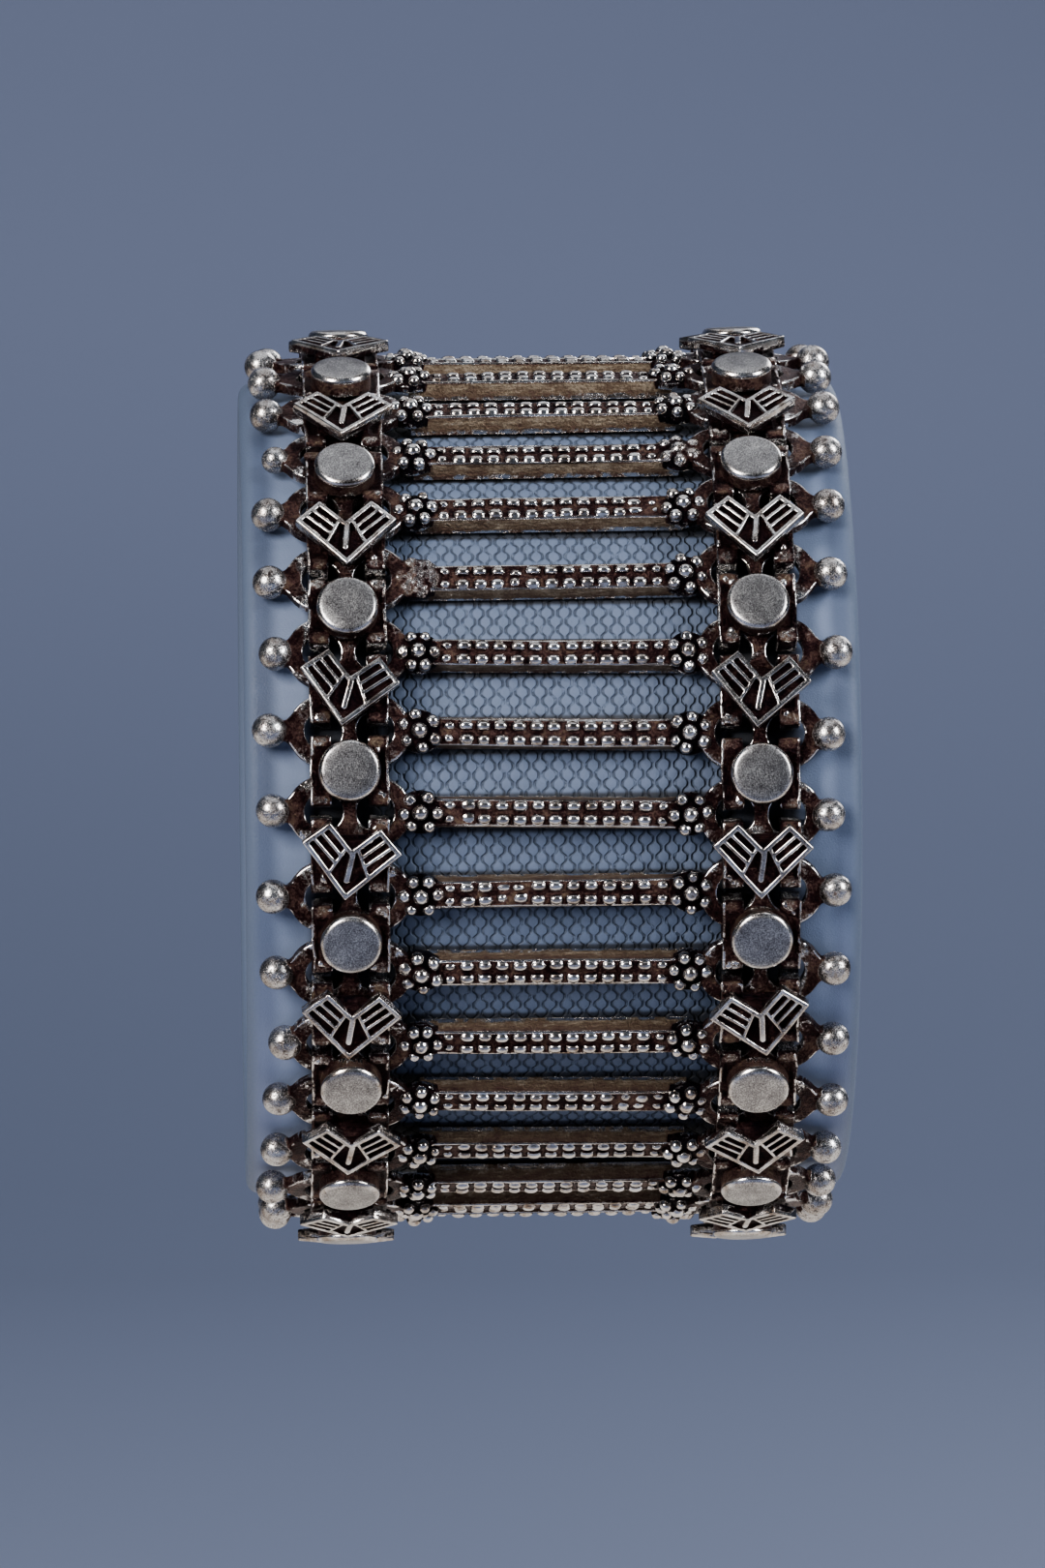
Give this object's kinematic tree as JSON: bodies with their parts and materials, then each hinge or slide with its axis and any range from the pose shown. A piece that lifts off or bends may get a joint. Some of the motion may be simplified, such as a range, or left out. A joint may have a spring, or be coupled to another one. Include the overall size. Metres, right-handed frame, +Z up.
{
  "type": "silver bracelet on a display roll",
  "caption": "Round hinged bracelet of beaded crossbars held by two chains of links with discs and heart plaques, shown on an open padded display roll.",
  "frame": {"origin": "middle of the loop, on its axis, where a wrist or a display bar passes through", "axes": "+X along the loop's axis, +Z up, the front of the loop faces -Y; crossbar_01 is at the front and the numbers rise up the front and over the top"},
  "size_m": [0.0434, 0.0668, 0.0667],
  "materials": {
    "crossbar_silver": "oxidised cast silver, near-black with a purple-brown tint in the recesses, worn bright on beads, granules, balls and edges",
    "link_silver": "oxidised cast silver with satin, finely scratched discs and bright worn edges",
    "roll_cover": "matt grey-blue leatherette, embossed with a pebbled chain grain"
  },
  "bodies": {
    "root": {"crossbar_01": "crossbar_silver", "crossbar_02": "crossbar_silver", "crossbar_03": "crossbar_silver", "crossbar_04": "crossbar_silver", "crossbar_05": "crossbar_silver", "crossbar_06": "crossbar_silver", "crossbar_07": "crossbar_silver", "crossbar_08": "crossbar_silver", "crossbar_09": "crossbar_silver", "crossbar_10": "crossbar_silver", "crossbar_11": "crossbar_silver", "crossbar_12": "crossbar_silver", "crossbar_13": "crossbar_silver", "crossbar_14": "crossbar_silver", "crossbar_15": "crossbar_silver", "crossbar_16": "crossbar_silver", "crossbar_17": "crossbar_silver", "crossbar_18": "crossbar_silver", "crossbar_19": "crossbar_silver", "crossbar_20": "crossbar_silver", "crossbar_21": "crossbar_silver", "crossbar_22": "crossbar_silver", "crossbar_23": "crossbar_silver", "crossbar_24": "crossbar_silver", "crossbar_25": "crossbar_silver", "crossbar_26": "crossbar_silver", "crossbar_27": "crossbar_silver", "crossbar_28": "crossbar_silver", "crossbar_29": "crossbar_silver", "crossbar_30": "crossbar_silver", "crossbar_31": "crossbar_silver", "crossbar_32": "crossbar_silver", "crossbar_33": "crossbar_silver", "crossbar_34": "crossbar_silver", "left_chain": "link_silver", "right_chain": "link_silver", "clasp": "link_silver", "display_roll": "roll_cover"}
  },
  "joints": []
}
